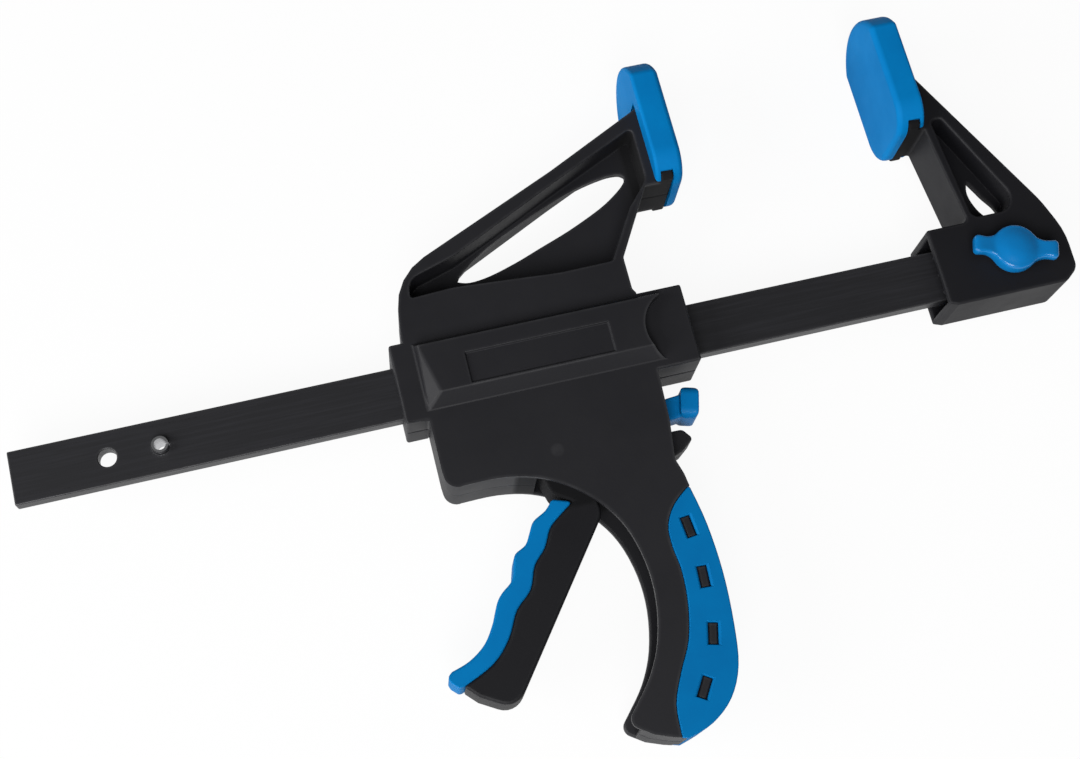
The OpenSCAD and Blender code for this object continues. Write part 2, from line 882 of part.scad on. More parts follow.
// Wing knob moulded over the screw's head
module wing_knob() {
    wing_t = 6.4;
    wing_low = 2.2;
    wing_end = wing_span / 2;
    dome = 3;
    color(soft_blue)
        translate([screw_x, 0, knob_low])
            rotate(-wing_turned)
                difference() {
                    union() {
                        rotate_extrude()
                            polygon([[0, 0], [hub_r - 0.6, 0], [hub_r, 1],
                                [hub_r, knob_h - dome], [hub_r - 1, knob_h - dome + 1.4],
                                [hub_r - 3.4, knob_h - 0.5], [hub_r - 6, knob_h], [0, knob_h]]);
                        intersection() {
                            linear_extrude(knob_h)
                                polygon(rounded([[-wing_end, -wing_t / 2, 2.6],
                                    [wing_end, -wing_t / 2, 2.6], [wing_end, wing_t / 2, 2.6],
                                    [-wing_end, wing_t / 2, 2.6]]));
                            rotate([90, 0, 0])
                                linear_extrude(2 * wing_t, center = true)
                                    polygon(rounded([[-wing_end, wing_low, 1.6],
                                        [wing_end, wing_low, 1.6], [wing_end, knob_h - 0.4, 1.6],
                                        [-wing_end, knob_h - 0.4, 1.6]]));
                        }
                    }
                    // the screw's shank and head
                    translate([0, 0, -1])
                        cylinder(h = 3, d = clamp_d);
                    translate([0, 0, 1])
                        rotate(wing_turned)
                            cylinder(h = 4, r = nut_r - 0.6, $fn = 6);
                }
}

// Places a piece of the head
module in_head() {
    translate([head_x, 0, 0])
        children();
}

bar();
stop_pin();
in_head() housing_front();
in_head() housing_rear();
in_head() housing_screws();
in_head() grip_insert();
in_head() trigger_lever();
in_head() trigger_grip();
in_head() trigger_pin();
in_head() drive_plate_1();
in_head() drive_plate_2();
in_head() drive_spring();
in_head() brake_plate();
in_head() brake_spring();
in_head() release_button();
in_head() moving_pad();
fixed_jaw();
fixed_pad();
clamp_screw();
wing_knob();
knob_washer();
jaw_nut();
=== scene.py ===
import json
import math

import bmesh
import bpy
from bpy.props import FloatProperty, FloatVectorProperty, IntProperty, PointerProperty
from mathutils import Matrix, Vector

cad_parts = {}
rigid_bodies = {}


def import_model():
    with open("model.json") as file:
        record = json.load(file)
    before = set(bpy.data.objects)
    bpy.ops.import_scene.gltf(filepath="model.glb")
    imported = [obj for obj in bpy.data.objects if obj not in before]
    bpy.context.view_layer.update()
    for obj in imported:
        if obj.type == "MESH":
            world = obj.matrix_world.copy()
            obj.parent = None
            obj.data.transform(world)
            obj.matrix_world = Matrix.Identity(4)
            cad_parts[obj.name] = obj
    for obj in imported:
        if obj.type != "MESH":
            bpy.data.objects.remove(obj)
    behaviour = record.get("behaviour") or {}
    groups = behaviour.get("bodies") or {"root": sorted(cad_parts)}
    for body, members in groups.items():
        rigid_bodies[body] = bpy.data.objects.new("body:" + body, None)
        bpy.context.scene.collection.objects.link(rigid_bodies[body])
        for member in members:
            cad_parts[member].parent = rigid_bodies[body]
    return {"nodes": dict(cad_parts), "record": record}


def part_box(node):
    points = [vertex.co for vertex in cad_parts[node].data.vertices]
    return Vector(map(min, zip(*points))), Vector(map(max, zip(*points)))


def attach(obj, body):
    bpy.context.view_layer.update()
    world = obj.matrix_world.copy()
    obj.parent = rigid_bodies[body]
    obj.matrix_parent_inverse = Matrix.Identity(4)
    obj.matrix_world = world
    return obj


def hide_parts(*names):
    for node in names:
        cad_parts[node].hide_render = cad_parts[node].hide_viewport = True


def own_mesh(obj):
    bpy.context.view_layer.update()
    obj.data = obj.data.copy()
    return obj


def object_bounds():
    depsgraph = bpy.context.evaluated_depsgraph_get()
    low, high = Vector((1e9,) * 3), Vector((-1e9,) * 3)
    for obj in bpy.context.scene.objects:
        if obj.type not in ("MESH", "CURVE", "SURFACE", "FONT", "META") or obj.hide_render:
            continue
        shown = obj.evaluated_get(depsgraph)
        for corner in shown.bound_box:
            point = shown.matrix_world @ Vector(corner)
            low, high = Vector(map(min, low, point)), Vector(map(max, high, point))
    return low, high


bl_info = {
    "name": "Quick Release Bar Clamp",
    "version": (1, 0, 0),
    "blender": (4, 5, 0),
    "location": "View3D > Sidebar > Bar Clamp",
    "description": "Dresses a one-handed bar clamp in moulded nylon, soft blue rubber and steel",
    "category": "Object",
}

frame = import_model()
CAD_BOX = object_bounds()

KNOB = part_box("wing_knob")
MOVING_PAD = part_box("moving_pad")
FIXED_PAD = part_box("fixed_pad")
FLOOR_TOP = min(MOVING_PAD[0].z, FIXED_PAD[0].z) - 0.0002


def foot_zone(pad, low_x, high_x, half_z):
    """The box round a jaw's foot, where shade from its pad is painted on the nylon."""
    return (low_x, high_x), (pad[0].y - 0.012, pad[0].y + 0.05), half_z


# Boxes where the black nylon lies hidden and shade is painted on it: x range, y range and half the
# z range
TRIGGER_SLOT = ((0.138, 0.172), (-0.058, -0.03), 0.0122)
PAINTED_SHADE_ZONES = (
    foot_zone(MOVING_PAD, MOVING_PAD[0].x - 0.009, MOVING_PAD[1].x + 0.01, 0.0125),
    foot_zone(MOVING_PAD, MOVING_PAD[0].x + 0.0005, MOVING_PAD[1].x + 0.01, 0.03),
    foot_zone(FIXED_PAD, FIXED_PAD[0].x - 0.01, FIXED_PAD[1].x + 0.0005, 0.03),
    TRIGGER_SLOT,
)
# Painted shade: the width of its soft border, and how far it darkens the nylon
PAINTED_SHADE_BORDER = 0.002
PAINTED_SHADE_AMOUNT = 0.9

# Springs: node, name of the finished piece, its joint, x of its fixed end,
# and the share of its length that is left at the joint's limit
SPRINGS = (
    ("drive_spring", "drive_coil", "drive_push", 0.1195, 0.733),
    ("brake_spring", "brake_coil", "release_press", 0.1735, 0.85),
)
PLATED_NODES = (
    "stop_pin", "housing_screws", "trigger_pin", "drive_plate_1", "drive_plate_2",
    "brake_plate", "clamp_screw", "knob_washer", "jaw_nut",
)

# Rounding of edges: the steepest step inside one plane, the shares of a gap, of a side
# and of a run's extent that a round may take, and the least round that is made
PLANE_ANGLE = 0.02
GAP_SHARE = 0.48
SIDE_SHARE = 0.9
RUN_SHARE = 0.12
LEAST_ROUND = 0.00006
# A turn is a corner above the first of these, and is held below the others,
# because the tangent of its half grows without end
CORNER_TURN = 0.6
CLOSING_TURN = 2.6
SIDE_TURN = 3.0

# Pads: the rounds at the arch's ends and at the back, as shares of the other rounds
ARCH_END_SHARE = 0.2
BACK_RIM_SHARE = 0.6
PAD_RIM = 0.0003
# Room for the foot: its corners' radius, the height of its open end, and how far
# below its top the way for the arm ends
FOOT_CORNER = 0.0058
FOOT_OPENING = 0.0034
ARM_DROP = 0.014
# How far a cutter reaches past the piece and into the cut before it
BEYOND = 0.006
OVERLAP = 0.0005
# Two places this near each other are the same
NEAR = 0.00001
NEAR_ROUND = 0.0005

# Wing knob: height of the plain hub as a share of the knob's, and how thin a wing's end
# face is pressed before the next step
HUB_SHARE = 0.72
WING_PRESS = 0.2

# Each step of a wing: share of the way out, its widening across and upright, and its rise
WING_STEPS = (
    (0.30, 0.72, 0.86, 0.10), (0.34, 1.14, 1.0, 0.05),
    (0.24, 1.04, 0.94, 0.0), (0.12, 0.62, 0.74, -0.02),
)
# Each step of the knob's dome: inset, and rise as a share of the knob's height
DOME_STEPS = ((0.0012, 0.0), (0.0026, 0.17), (0.0030, 0.09))

# Soft boxes: name, place and power
LIGHTS = (
    ("left softbox", (-2.1, -0.30, 1.10), 50.0),
    ("near softbox", (-0.50, -1.60, 2.10), 58.0),
)
LIGHT_SIZE = 1.5
ROOM_LIGHT = 0.12
FLOOR_SIZE = 16
FLOOR_WHITE = 0.93

# The photograph's pinhole view, in the frame of the bar
CAMERA_PLACE = Vector((0.07499, -0.18171, 0.59377))
CAMERA_RIGHT = Vector((0.9681, -0.2428, 0.0622))
CAMERA_UP = Vector((0.2131, 0.9281, 0.3053))
CAMERA_LENS = 56.67
CAMERA_SENSOR = 36.0


# ---- Settings ----

class ClampSizes(bpy.types.PropertyGroup):
    """Sizes of the finish: rounded edges and the forms that are modelled here."""
    moulded_edge: FloatProperty(
        name="Moulded edge", description="Radius on the edges of the black mouldings",
        default=0.0009, min=0.0001, max=0.002, unit="LENGTH")
    soft_edge: FloatProperty(
        name="Soft edge", description="Radius on the edges of the soft blue grips",
        default=0.0024, min=0.0001, max=0.004, unit="LENGTH")
    bar_edge: FloatProperty(
        name="Bar edge", description="Radius on the long edges of the steel bar",
        default=0.0005, min=0.0001, max=0.002, unit="LENGTH")
    pad_corner: FloatProperty(
        name="Pad corner", description="Radius of the lower corners of a pad's face",
        default=0.0116, min=0.004, max=0.014, unit="LENGTH")
    pad_top_corner: FloatProperty(
        name="Pad top corner", description="Radius where a pad's arched top begins",
        default=0.0046, min=0.002, max=0.005, unit="LENGTH")
    pad_arch: FloatProperty(
        name="Pad arch", description="Rise of a pad's arched top from its corners to its crown",
        default=0.0106, min=0.008, max=0.012, unit="LENGTH")
    pad_crown: FloatProperty(
        name="Pad crown", description="How far the arched top stands above the room for the foot",
        default=0.0048, min=0.003, max=0.006, unit="LENGTH")
    pad_edge: FloatProperty(
        name="Pad edge", description="Radius round a pad's working face",
        default=0.0022, min=0.0005, max=0.0038, unit="LENGTH")
    pad_face: FloatProperty(
        name="Pad face", description="Thickness of a pad's working face",
        default=0.004, min=0.002, max=0.006, unit="LENGTH")
    pad_foot_room: FloatProperty(
        name="Pad foot room", description="Depth of the slot that takes the jaw's foot",
        default=0.005, min=0.003, max=0.006, unit="LENGTH")
    pad_wall: FloatProperty(
        name="Pad wall", description="Thickness of the walls round the jaw's foot",
        default=0.0042, min=0.002, max=0.006, unit="LENGTH")
    arm_half: FloatProperty(
        name="Arm way", description="Half width of the opening for the arm behind a pad",
        default=0.0132, min=0.01, max=0.016, unit="LENGTH")
    button_skin: FloatProperty(
        name="Button skin",
        description="Size of the faces that the release button is smoothed with",
        default=0.00036, min=0.0002, max=0.001, unit="LENGTH")
    hub_radius: FloatProperty(
        name="Hub radius", description="Radius of the wing knob's hub",
        default=0.009, min=0.006, max=0.012, unit="LENGTH")
    knob_turn: FloatProperty(
        name="Knob turn", description="How far the wing knob is turned about its screw",
        default=math.radians(-17), subtype="ANGLE")
    knob_sides: IntProperty(
        name="Knob sides", description="Sides of the hub before it is smoothed",
        default=24, min=12, max=48)


class ClampColours(bpy.types.PropertyGroup):
    """Colours of the mouldings and metals, in linear light."""
    nylon: FloatVectorProperty(
        name="Nylon", description="Black glass-filled nylon of the mouldings",
        default=(0.0092, 0.0092, 0.0116), size=3, subtype="COLOR", min=0, max=1)
    nylon_rubbed: FloatVectorProperty(
        name="Rubbed nylon", description="Nylon where the edges are polished by handling",
        default=(0.034, 0.034, 0.037), size=3, subtype="COLOR", min=0, max=1)
    soft_blue: FloatVectorProperty(
        name="Soft blue", description="Blue rubber of the pads and grips",
        default=(0.0008, 0.194, 0.505), size=3, subtype="COLOR", min=0, max=1)
    soft_blue_deep: FloatVectorProperty(
        name="Deep blue", description="Blue rubber where it is thickest",
        default=(0.0008, 0.164, 0.446), size=3, subtype="COLOR", min=0, max=1)
    gloss_blue: FloatVectorProperty(
        name="Gloss blue", description="Glossy blue plastic of the knob and button",
        default=(0.0008, 0.178, 0.480), size=3, subtype="COLOR", min=0, max=1)
    phosphate: FloatVectorProperty(
        name="Phosphate", description="Black phosphate coat of the bar",
        default=(0.0165, 0.0165, 0.0190), size=3, subtype="COLOR", min=0, max=1)
    zinc: FloatVectorProperty(
        name="Zinc", description="Zinc plating of the pins, screws and plates",
        default=(0.560, 0.565, 0.580), size=3, subtype="COLOR", min=0, max=1)
    floor: FloatVectorProperty(
        name="Floor", description="Pale floor under the clamp",
        default=(0.90, 0.90, 0.90), size=3, subtype="COLOR", min=0, max=1)


def sizes():
    """The sizes that the scene holds."""
    return bpy.context.scene.clamp_sizes


def colours():
    """The colours that the scene holds."""
    return bpy.context.scene.clamp_colours


# ---- Modelling helpers ----

def activate(piece):
    """Makes the piece the only one selected, and the active one, in object mode."""
    if bpy.context.object and bpy.context.object.mode != "OBJECT":
        bpy.ops.object.mode_set(mode="OBJECT")
    bpy.ops.object.select_all(action="DESELECT")
    piece.select_set(True)
    bpy.context.view_layer.objects.active = piece


def object_mode():
    """Leaves edit mode."""
    bpy.ops.object.mode_set(mode="OBJECT")


def select_edges(piece, test):
    """Enters edit mode with those edges selected whose two ends pass the test."""
    activate(piece)
    clear_selection(piece.data)
    bpy.context.tool_settings.mesh_select_mode = (False, True, False)
    points = piece.data.vertices
    for edge in piece.data.edges:
        edge.select = test(points[edge.vertices[0]].co, points[edge.vertices[1]].co)
    bpy.ops.object.mode_set(mode="EDIT")


def select_faces(piece, test):
    """Enters edit mode with those faces selected whose centre and normal pass the test."""
    activate(piece)
    clear_selection(piece.data)
    bpy.context.tool_settings.mesh_select_mode = (False, False, True)
    for face in piece.data.polygons:
        face.select = test(face.center, face.normal)
    bpy.ops.object.mode_set(mode="EDIT")


def clear_selection(mesh):
    """Deselects every corner, edge and face of a mesh."""
    for group in (mesh.vertices, mesh.edges, mesh.polygons):
        group.foreach_set("select", [False] * len(group))


def apply_place(piece):
    """Moves the piece's place, turn and scale into its mesh."""
    activate(piece)
    bpy.ops.object.transform_apply(location=True, rotation=True, scale=True)


def add_block(name, low, high):
    """A block between two corners, as the start of a piece or a cutter."""
    bpy.ops.object.select_all(action="DESELECT")
    bpy.ops.mesh.primitive_cube_add(size=1, location=(low + high) / 2)
    block = bpy.context.object
    block.name = block.data.name = name
    block.scale = high - low
    apply_place(block)
    return block


def cut(piece, cutter):
    """Takes the cutter's volume out of the piece."""
    activate(piece)
    modifier = piece.modifiers.new("cut", "BOOLEAN")
    modifier.operation = "DIFFERENCE"
    modifier.solver = "EXACT"
    modifier.object = cutter
    bpy.ops.object.modifier_apply(modifier=modifier.name)
    bpy.data.objects.remove(cutter)


def flat_regions(mesh):
    """Numbers the faces, one number for all that lie together in one plane."""
    number = {}
    for first in mesh.faces:
        if first in number:
            continue
        number[first] = first.index
        waiting = [first]
        while waiting:
            for edge in waiting.pop().edges:
                if len(edge.link_faces) == 2 and edge.calc_face_angle() < PLANE_ANGLE:
                    fresh = [face for face in edge.link_faces if face not in number]
                    number.update((face, first.index) for face in fresh)
                    waiting.extend(fresh)
    return number


def room_beside(edge, loop, rims):
    """How wide a round the flat region on one side of an edge has room for."""
    start, end = loop.vert, loop.link_loop_next.vert
    length = edge.calc_length()
    along = (end.co - start.co) / length
    inward = loop.face.normal.cross(along)
    middle = (start.co + end.co) / 2
    room, closing = 1.0, 0.0
    for other in rims:
        if other is edge:
            continue
        shared = [corner for corner in (start, end) if corner in other.verts]
        if shared:
            out = other.other_vert(shared[0]).co - shared[0].co
            turn = (along if shared[0] is end else -along).angle(out)
            if out.dot(inward) > 0:
                closing += math.tan(min(turn, CLOSING_TURN) / 2)
                if turn > CORNER_TURN:
                    side = min(length, out.length)
                    room = min(room, GAP_SHARE * side / math.tan(min(turn, SIDE_TURN) / 2))
            continue
        ends = [((v.co - middle).dot(along), (v.co - middle).dot(inward)) for v in other.verts]
        (ax, ay), (bx, by) = sorted(ends)
        low, high = max(ax, -length / 2), min(bx, length / 2)
        if low < high:
            depths = [ay + (by - ay) * (x - ax) / (bx - ax) for x in (low, high)]
            if min(depths) > NEAR:
                room = min(room, GAP_SHARE * min(depths))
    return min(room, SIDE_SHARE * length / closing) if closing > 0.001 else room


def edge_runs(sharp):
    """Splits the sharp edges into runs that pass no corner where others meet them."""
    left = dict.fromkeys(sorted(sharp, key=lambda edge: edge.index))
    while left:
        first = next(iter(left))
        del left[first]
        run, waiting = [first], list(first.verts)
        while waiting:
            corner = waiting.pop()
            meeting = [edge for edge in corner.link_edges if edge in sharp]
            if len(meeting) == 2:
                for edge in meeting:
                    if edge in left:
                        del left[edge]
                        run.append(edge)
                        waiting.append(edge.other_vert(corner))
        yield run


def round_edges(piece, radius, segments=3, angle=30):
    """Rounds the sharp edges, each as far as the faces beside it have room, and shades smooth."""
    activate(piece)
    mesh = bmesh.new()
    mesh.from_mesh(piece.data)
    mesh.normal_update()
    sharp = {edge for edge in mesh.edges
             if len(edge.link_faces) == 2 and edge.calc_face_angle() > math.radians(angle)}
    number = flat_regions(mesh)
    rims = {}
    for edge in sorted(sharp, key=lambda e: e.index):
        for face in edge.link_faces:
            rims.setdefault(number[face], []).append(edge)
    shares = [0.0] * len(mesh.edges)
    for run in edge_runs(sharp):
        room = min(room_beside(edge, loop, rims[number[loop.face]])
                   for edge in run for loop in edge.link_loops)
        corners = [corner.co for edge in run for corner in edge.verts]
        extent = max((corner - corners[0]).length for corner in corners)
        room = min(room, RUN_SHARE * extent)
        for edge in run:
            shares[edge.index] = min(1.0, room / radius) if room > LEAST_ROUND else 0.0
    mesh.free()
    weights = piece.data.attributes.new("bevel_weight_edge", "FLOAT", "EDGE")
    weights.data.foreach_set("value", shares)
    modifier = piece.modifiers.new("rounded edges", "BEVEL")
    modifier.width = radius
    modifier.segments = segments
    modifier.limit_method = "WEIGHT"
    modifier.use_clamp_overlap = False
    modifier.loop_slide = False
    bpy.ops.object.modifier_apply(modifier=modifier.name)
    mend_folds(piece)
    smooth(piece)


def mend_folds(piece):
    """Fills each flat region anew where the rounding made a face's outline cross itself."""
    mesh = bmesh.new()
    mesh.from_mesh(piece.data)
    number = flat_regions(mesh)
    folded = set()
    for a, b, c in mesh.calc_loop_triangles():
        across = (b.vert.co - a.vert.co).cross(c.vert.co - a.vert.co)
        if across.dot(a.face.normal) < -1e-9:
            folded.add(number[a.face])
    regions = [{tuple(face.calc_center_median()) for face in number if number[face] == first}
               for first in sorted(folded)]
    mesh.free()
    for centres in regions:
        select_faces(piece, lambda centre, normal: False)
        edit = bmesh.from_edit_mesh(piece.data)
        for face in edit.faces:
            face.select_set(tuple(face.calc_center_median()) in centres)
        bpy.ops.mesh.delete(type="ONLY_FACE")
        bpy.ops.mesh.select_mode(type="EDGE")
        for wire in (True, False):
            bpy.ops.mesh.select_non_manifold(
                extend=False, use_wire=wire, use_boundary=not wire,
                use_multi_face=False, use_non_contiguous=False, use_verts=False)
            if wire:
                bpy.ops.mesh.delete(type="EDGE")
        bpy.ops.mesh.fill(use_beauty=True)
        bpy.ops.mesh.dissolve_limited(angle_limit=0.001)
        bpy.ops.mesh.select_all(action="SELECT")
        bpy.ops.mesh.normals_make_consistent(inside=False)
        object_mode()


def smooth(piece, angle=38):
    """Smooth shading, with large flat faces kept flat."""
    activate(piece)
    bpy.ops.object.shade_smooth_by_angle(angle=math.radians(angle))
    modifier = piece.modifiers.new("flat faces stay flat", "WEIGHTED_NORMAL")
    modifier.keep_sharp = True
    modifier.weight = 80
    bpy.ops.object.modifier_apply(modifier=modifier.name)


def subdivide_smooth(piece, levels):
    """Finishes a piece with a subdivision surface."""
    activate(piece)
    modifier = piece.modifiers.new("smooth form", "SUBSURF")
    modifier.levels = levels
    modifier.render_levels = levels
    bpy.ops.object.modifier_apply(modifier=modifier.name)
    bpy.ops.object.shade_smooth()


def copy_of_node(node, name):
    """A merged copy of a construction piece, with its flat faces whole again."""
    activate(frame["nodes"][node])
    bpy.ops.object.duplicate()
    piece = bpy.context.object
    bpy.ops.object.parent_clear(type="CLEAR_KEEP_TRANSFORM")
    for mark in list(piece.keys()):
        del piece[mark]
    piece.name = piece.data.name = name
    piece.data.materials.clear()
    bpy.ops.mesh.customdata_custom_splitnormals_clear()
    bpy.ops.object.mode_set(mode="EDIT")
    bpy.ops.mesh.select_all(action="SELECT")
    bpy.ops.mesh.remove_doubles(threshold=0.000002)
    bpy.ops.mesh.dissolve_limited(angle_limit=math.radians(0.6))
    object_mode()
    return piece


def place(piece, node, material):
    """Gives a finished piece its material and its body, and hides the node that it stands for."""
    piece.data.materials.clear()
    piece.data.materials.append(material)
    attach(piece, body_of_node(node))
    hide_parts(node)


def body_of_node(node):
    """The name of the body that a node belongs to."""
    for body, members in frame["record"]["behaviour"]["bodies"].items():
        if node in members:
            return body
    raise RuntimeError(f"{node} is in no body")


def dress(node, material):
    """Gives a construction piece that stays a better material."""
    mesh = frame["nodes"][node].data
    mesh.materials.clear()
    mesh.materials.append(material)


# ---- Shader groups ----

def new_group(name, inputs, outputs):
    """An empty shader group with named float inputs and outputs."""
    group = bpy.data.node_groups.new(name, "ShaderNodeTree")
    for label, value in inputs:
        socket = group.interface.new_socket(
            name=label, in_out="INPUT", socket_type="NodeSocketFloat")
        socket.default_value = value
    for label in outputs:
        group.interface.new_socket(name=label, in_out="OUTPUT", socket_type="NodeSocketFloat")
    start = group.nodes.new("NodeGroupInput")
    end = group.nodes.new("NodeGroupOutput")
    return group, start, end


def math_node(tree, operation, a, b=None):
    """A math node on sockets or plain numbers; gives its output."""
    node = tree.nodes.new("ShaderNodeMath")
    node.operation = operation
    for socket, value in zip(node.inputs, (a, b)):
        if value is None:
            continue
        if isinstance(value, (int, float)):
            socket.default_value = value
        else:
            tree.links.new(value, socket)
    return node.outputs[0]


def noise(tree, vector, scale, detail, roughness=0.55):
    """Noise on a vector; scale is a number or a socket."""
    node = tree.nodes.new("ShaderNodeTexNoise")
    node.inputs["Detail"].default_value = detail
    node.inputs["Roughness"].default_value = roughness
    tree.links.new(vector, node.inputs["Vector"])
    if isinstance(scale, (int, float)):
        node.inputs["Scale"].default_value = scale
    else:
        tree.links.new(scale, node.inputs["Scale"])
    return node.outputs["Fac"]


def ramp(tree, value, low, high, out_low=0.0, out_high=1.0):
    """Maps a value from one range to another, clamped."""
    node = tree.nodes.new("ShaderNodeMapRange")
    node.clamp = True
    tree.links.new(value, node.inputs["Value"])
    for label, number in (("From Min", low), ("From Max", high),
                          ("To Min", out_low), ("To Max", out_high)):
        node.inputs[label].default_value = number
    return node.outputs["Result"]


def grain_group():
    """Fine spark-eroded grain of a moulding, as a height."""
    name = "moulded grain"
    if name in bpy.data.node_groups:
        return bpy.data.node_groups[name]
    group, start, end = new_group(name, [("Fineness", 3200.0)], ["Height"])
    place_in = group.nodes.new("ShaderNodeTexCoord").outputs["Object"]
    fine = noise(group, place_in, start.outputs["Fineness"], detail=2.0, roughness=0.6)
    wider = math_node(group, "MULTIPLY", start.outputs["Fineness"], 0.31)
    coarse = noise(group, place_in, wider, detail=1.0)
    mixed = math_node(group, "ADD", math_node(group, "MULTIPLY", fine, 0.65),
                      math_node(group, "MULTIPLY", coarse, 0.35))
    group.links.new(mixed, end.inputs["Height"])
    return group


def handling_group():
    """Where hands and benches rub: a mask on the outer edges, and soft smears all over."""
    name = "handling wear"
    if name in bpy.data.node_groups:
        return bpy.data.node_groups[name]
    group, start, end = new_group(name, [("Reach", 0.0012), ("Spread", 0.5)], ["Edge", "Smear"])
    place_in = group.nodes.new("ShaderNodeTexCoord").outputs["Object"]
    thin = group.nodes.new("ShaderNodeAmbientOcclusion")
    thin.inside = True
    thin.only_local = True
    thin.samples = 6
    group.links.new(start.outputs["Reach"], thin.inputs["Distance"])
    exposed = math_node(group, "DIVIDE", math_node(group, "SUBTRACT", 1.0, thin.outputs["AO"]),
                        start.outputs["Spread"])
    patchy = ramp(group, noise(group, place_in, 190.0, detail=4.0), 0.32, 0.66, 0.35, 1.0)
    edge = math_node(group, "MULTIPLY", math_node(group, "MINIMUM", exposed, 1.0), patchy)
    group.links.new(edge, end.inputs["Edge"])
    smear = ramp(group, noise(group, place_in, 42.0, detail=5.0, roughness=0.6), 0.3, 0.7)
    group.links.new(smear, end.inputs["Smear"])
    return group


def painted_shade_group():
    """Mask of painted shade, which rises where the nylon lies hidden: at the jaws' feet and in the
    trigger's slot.
    """
    name = "Sheltered nylon"
    if name in bpy.data.node_groups:
        return bpy.data.node_groups[name]
    group, _, end = new_group(name, [], ["Shelter"])
    place_in = group.nodes.new("ShaderNodeTexCoord").outputs["Object"]
    parts = group.nodes.new("ShaderNodeSeparateXYZ")
    group.links.new(place_in, parts.inputs["Vector"])
    total = None
    for x_range, y_range, half_z in PAINTED_SHADE_ZONES:
        inside = PAINTED_SHADE_AMOUNT
        for axis, (low, high) in (("X", x_range), ("Y", y_range), ("Z", (-half_z, half_z))):
            rise = ramp(group, parts.outputs[axis], low, low + PAINTED_SHADE_BORDER)
            fall = ramp(group, parts.outputs[axis], high - PAINTED_SHADE_BORDER, high, 1.0, 0.0)
            inside = math_node(group, "MULTIPLY", math_node(group, "MULTIPLY", rise, fall), inside)
        total = inside if total is None else math_node(group, "MAXIMUM", total, inside)
    group.links.new(total, end.inputs["Shelter"])
    return group


def add_group(tree, group, **values):
    """Puts a shader group into a tree, with these inputs set."""
    node = tree.nodes.new("ShaderNodeGroup")
    node.node_tree = group
    for label, number in values.items():
        node.inputs[label].default_value = number
    return node


# ---- Materials ----

def new_material(name):
    """A material with only a Principled shader and its output."""
    material = bpy.data.materials.new(name)
    material.use_nodes = True
    tree = material.node_tree
    tree.nodes.clear()
    shader = tree.nodes.new("ShaderNodeBsdfPrincipled")
    output = tree.nodes.new("ShaderNodeOutputMaterial")
    tree.links.new(shader.outputs["BSDF"], output.inputs["Surface"])
    return material, tree, shader


def shaded(colour, share):
    """A share of a colour's brightness."""
    return tuple(share * c for c in colour)


def mix_colour(tree, mask, first, second):
    """Two colours mixed by a mask; gives the colour socket."""
    node = tree.nodes.new("ShaderNodeMix")
    node.data_type = "RGBA"
    tree.links.new(mask, node.inputs["Factor"])
    for socket, colour in ((node.inputs["A"], first), (node.inputs["B"], second)):
        if hasattr(colour, "links"):
            tree.links.new(colour, socket)
        else:
            socket.default_value = (*colour, 1.0)
    return node.outputs["Result"]


def bump(tree, shader, height, distance, strength):
    """Lets a height show in the shader's normal."""
    node = tree.nodes.new("ShaderNodeBump")
    node.inputs["Strength"].default_value = strength
    node.inputs["Distance"].default_value = distance
    tree.links.new(height, node.inputs["Height"])
    tree.links.new(node.outputs["Normal"], shader.inputs["Normal"])


def nylon_material(name="black nylon", share=1.0, specular=0.30):
    """Black nylon moulding: eroded grain, polished edges, faint smears, and painted shade where it
    lies hidden.
    """
    if name in bpy.data.materials:
        return bpy.data.materials[name]
    material, tree, shader = new_material(name)
    grain = add_group(tree, grain_group(), Fineness=2600.0)
    wear = add_group(tree, handling_group(), Reach=0.0012, Spread=0.45)
    # Painted shade: this mask darkens the hidden nylon to 0.3 of its colour and makes it rougher.
    painted_shade = add_group(tree, painted_shade_group()).outputs["Shelter"]
    # A share below one gives a darker copy of the same nylon: painted shade.
    base = shaded(colours().nylon, share)
    colour = mix_colour(tree, wear.outputs["Edge"], base, tuple(colours().nylon_rubbed))
    colour = mix_colour(tree, painted_shade, colour, shaded(colours().nylon, 0.3))
    tree.links.new(colour, shader.inputs["Base Color"])
    rough = math_node(tree, "SUBTRACT",
                      ramp(tree, wear.outputs["Smear"], 0.0, 1.0, 0.52, 0.64),
                      math_node(tree, "MULTIPLY", wear.outputs["Edge"], 0.10))
    rough = math_node(tree, "ADD", rough, math_node(tree, "MULTIPLY", painted_shade, 0.36))
    tree.links.new(rough, shader.inputs["Roughness"])
    shader.inputs["Specular IOR Level"].default_value = specular
    shader.inputs["IOR"].default_value = 1.53
    bump(tree, shader, grain.outputs["Height"], 0.00006, 0.55)
    return material


def soft_blue_material(name="soft blue rubber", share=1.0):
    """Soft blue rubber: matte grain, slightly deeper in broad patches."""
    if name in bpy.data.materials:
        return bpy.data.materials[name]
    material, tree, shader = new_material(name)
    grain = add_group(tree, grain_group(), Fineness=2100.0)
    wear = add_group(tree, handling_group(), Reach=0.0012, Spread=0.6)
    light = shaded(colours().soft_blue, share)
    deep = shaded(colours().soft_blue_deep, share)
    colour = mix_colour(tree, wear.outputs["Smear"], light, deep)
    tree.links.new(colour, shader.inputs["Base Color"])
    rough = ramp(tree, wear.outputs["Smear"], 0.0, 1.0, 0.54, 0.66)
    tree.links.new(rough, shader.inputs["Roughness"])
    shader.inputs["Specular IOR Level"].default_value = 0.05
    shader.inputs["IOR"].default_value = 1.50
    bump(tree, shader, grain.outputs["Height"], 0.00005, 0.5)
    return material


